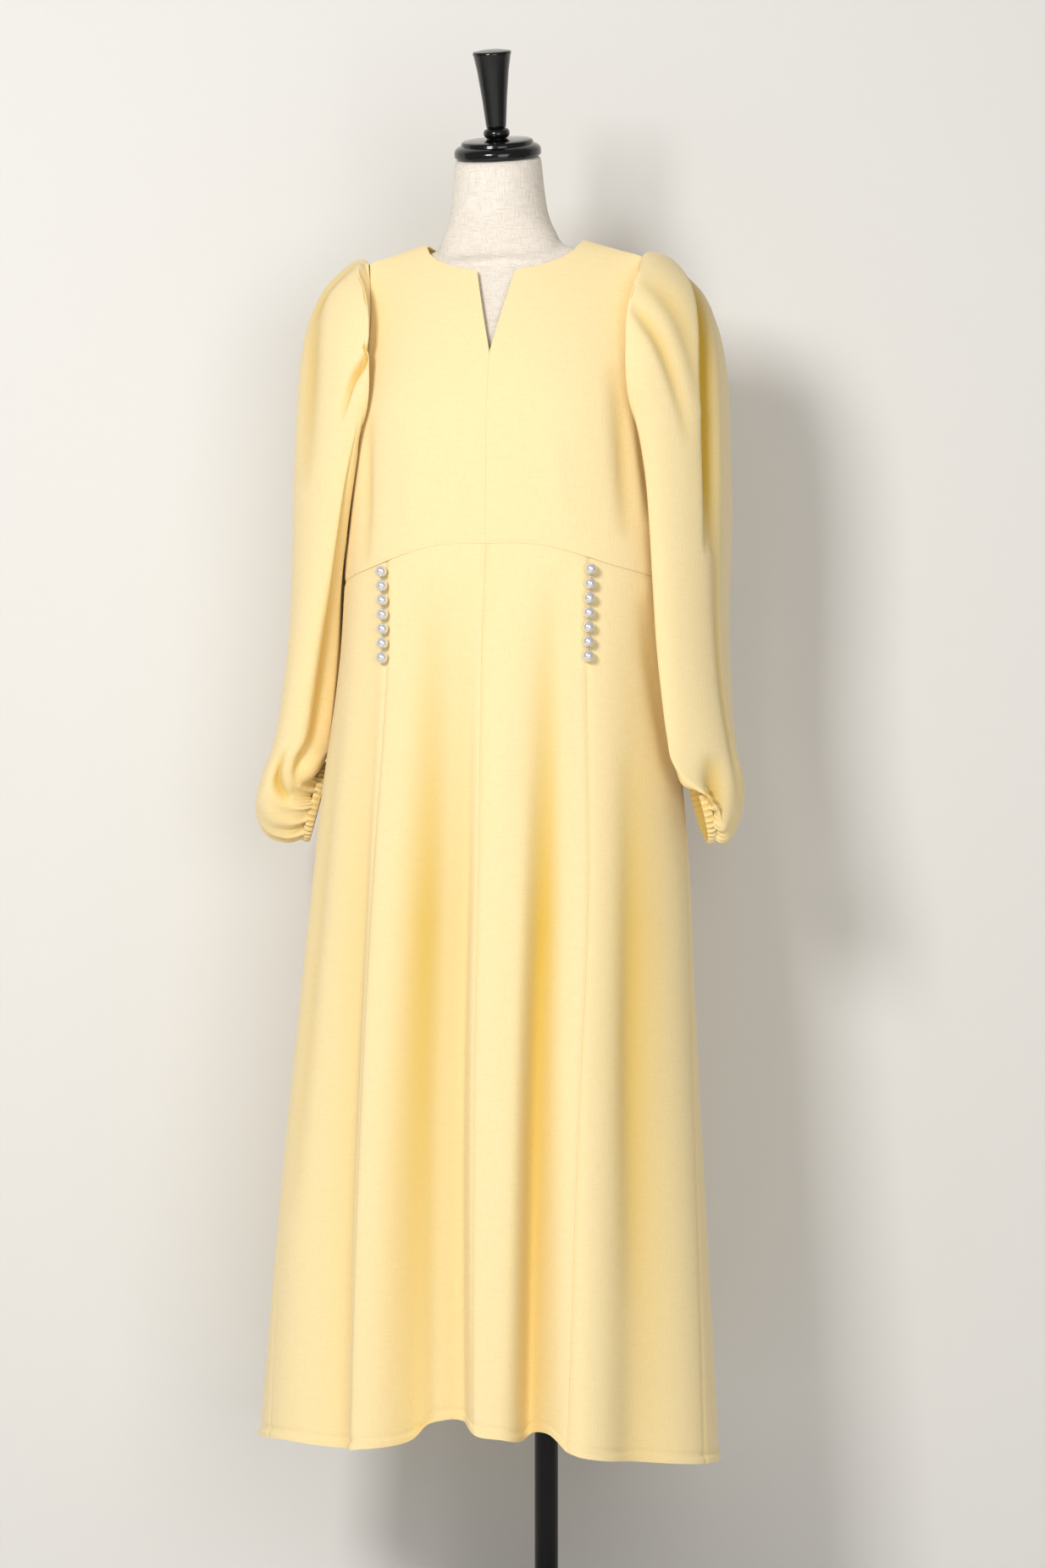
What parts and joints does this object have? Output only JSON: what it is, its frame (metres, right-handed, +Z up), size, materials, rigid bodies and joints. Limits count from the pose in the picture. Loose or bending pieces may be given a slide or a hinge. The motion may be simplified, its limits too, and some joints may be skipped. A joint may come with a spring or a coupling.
{
  "type": "balloon sleeve dress on a dress form",
  "caption": "Long woven dress with balloon sleeves, a curved waist seam and a pearl trim, worn by a limbless linen dress form on a round stand.",
  "frame": {"origin": "on the floor, on the underside of the round base and under the garment's centre plane", "axes": "+Z up, the dress's front faces -Y, the wearer's left is +X"},
  "size_m": [0.5385, 0.4413, 1.7305],
  "materials": {
    "cloth": "smooth matte double cloth",
    "pearl": "pearl lustre",
    "linen": "plain weave linen, pasted on the form",
    "lacquer": "gloss black lacquer",
    "metal": "satin black paint"
  },
  "bodies": {
    "root": {"bodice_front_left": "cloth", "bodice_back_left": "cloth", "skirt_front_centre_left": "cloth", "skirt_front_side_left": "cloth", "skirt_back_left": "cloth", "sleeve_left": "cloth", "cuff_left": "cloth", "pearl_left_1": "pearl", "pearl_left_2": "pearl", "pearl_left_3": "pearl", "pearl_left_4": "pearl", "pearl_left_5": "pearl", "pearl_left_6": "pearl", "pearl_left_7": "pearl", "bodice_front_right": "cloth", "bodice_back_right": "cloth", "skirt_front_centre_right": "cloth", "skirt_front_side_right": "cloth", "skirt_back_right": "cloth", "sleeve_right": "cloth", "cuff_right": "cloth", "pearl_right_1": "pearl", "pearl_right_2": "pearl", "pearl_right_3": "pearl", "pearl_right_4": "pearl", "pearl_right_5": "pearl", "pearl_right_6": "pearl", "pearl_right_7": "pearl", "form_body": "linen", "neck_cap": "lacquer", "finial": "lacquer", "pole": "metal", "base": "metal"}
  },
  "joints": []
}
